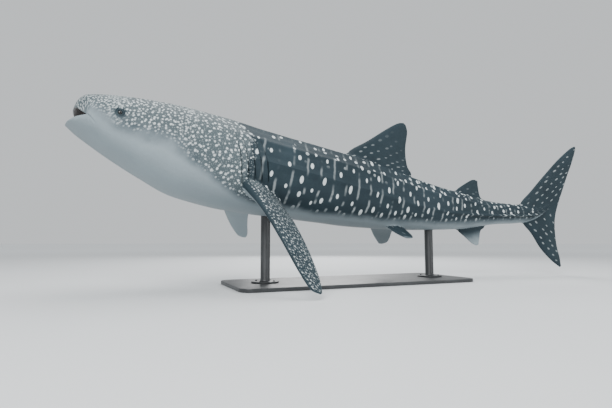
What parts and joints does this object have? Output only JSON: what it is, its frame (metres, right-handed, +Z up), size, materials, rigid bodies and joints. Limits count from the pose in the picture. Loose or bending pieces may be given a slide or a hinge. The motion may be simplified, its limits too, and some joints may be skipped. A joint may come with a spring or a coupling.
{
  "type": "whale shark model",
  "caption": "Life-size still model of a whale shark with its head raised, on a plain stand with a flat base plate and short rods",
  "frame": {"origin": "The middle of the base plate's underside, on the floor", "axes": "+X runs from the shark's head to its tail, its longest way; the shark's left side faces -Y; +Z is up"},
  "size_m": [6.5882, 2.7332, 1.9754],
  "materials": {
    "skin": "satin skin, slate blue-grey above with pale spots and bars, pale below",
    "eye": "glossy dark eye",
    "stand": "satin dark grey paint"
  },
  "bodies": {
    "root": {"head": "skin", "lower_jaw": "skin", "gill_region": "skin", "trunk": "skin", "tail": "skin", "tail_stalk": "skin", "tail_fin": "skin", "dorsal_fin_first": "skin", "dorsal_fin_second": "skin", "anal_fin": "skin", "pectoral_fin_left": "skin", "pectoral_fin_right": "skin", "pelvic_fin_left": "skin", "pelvic_fin_right": "skin", "eye_left": "eye", "eye_right": "eye", "stand_base": "stand", "stand_rod_front": "stand", "stand_rod_rear": "stand"}
  },
  "joints": []
}
